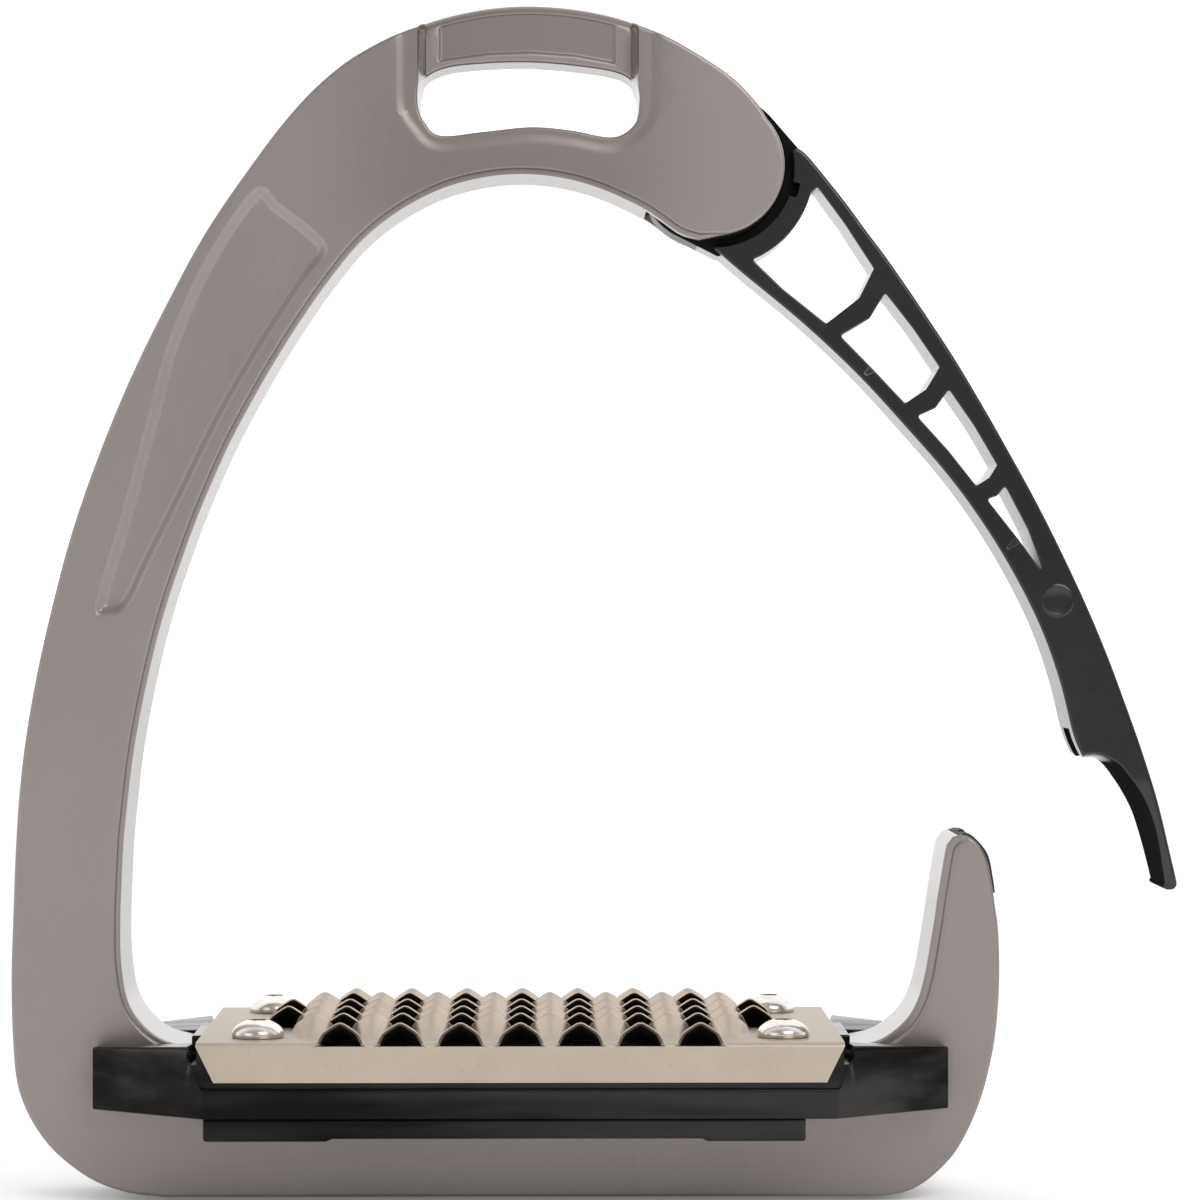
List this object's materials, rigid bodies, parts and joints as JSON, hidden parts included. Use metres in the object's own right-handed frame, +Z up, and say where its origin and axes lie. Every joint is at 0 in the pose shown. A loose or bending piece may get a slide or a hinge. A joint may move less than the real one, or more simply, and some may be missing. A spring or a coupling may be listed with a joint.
{
  "type": "safety stirrup iron",
  "caption": "Safety stirrup iron: satin alloy frame open on one side, black hinged release arm, leather slot at the top and a wide toothed metal tread on a dark plastic base.",
  "frame": {"origin": "centre of the flat underside of the bottom bar, on the mid-plane of the frame", "axes": "+Z up towards the leather slot, +X across the tread towards the release arm, +Y from the front face to the rear face"},
  "size_m": [0.1737, 0.06, 0.1772],
  "materials": {
    "satin_alloy": "warm grey satin anodised aluminium",
    "black_rubber": "black moulded rubber",
    "black_polymer": "glossy black moulded polymer",
    "smoked_polymer": "glossy smoked black moulded polymer",
    "stainless_sheet": "finely brushed stainless sheet",
    "bright_steel": "polished stainless steel",
    "spring_steel": "drawn spring wire",
    "dark_steel": "black oxide steel",
    "brass": "machined brass"
  },
  "bodies": {
    "frame": {"frame": "satin_alloy", "latch_pad": "black_rubber", "pivot_screw": "bright_steel", "detent_spring": "spring_steel", "tread_base": "smoked_polymer", "clamp_rail_front": "smoked_polymer", "clamp_rail_rear": "smoked_polymer", "tread_plate": "stainless_sheet", "tread_screw_front_left": "bright_steel", "tread_screw_front_right": "bright_steel", "tread_screw_rear_left": "bright_steel", "tread_screw_rear_right": "bright_steel", "base_insert_front_left": "brass", "base_insert_front_right": "brass", "base_insert_rear_left": "brass", "base_insert_rear_right": "brass", "rail_screw_front_left": "dark_steel", "rail_screw_front_right": "dark_steel", "rail_screw_rear_left": "dark_steel", "rail_screw_rear_right": "dark_steel"},
    "release_arm": {"safety_arm": "black_polymer", "hub_bush": "brass"},
    "detent": {"detent_plunger": "bright_steel"}
  },
  "joints": [
    {"name": "arm_hinge", "type": "hinge", "parent": "frame", "child": "release_arm", "pos_m": [0.0289, 0, 0.1538], "axis": [0, -1, 0], "range_deg": [-11.5, 45]},
    {"name": "detent_slide", "type": "slide", "parent": "frame", "child": "detent", "axis": [0.9976, 0, -0.0698], "range_m": [0, 0.0006], "stiffness_N_per_m": 600, "springref_m": 0.003}
  ]
}
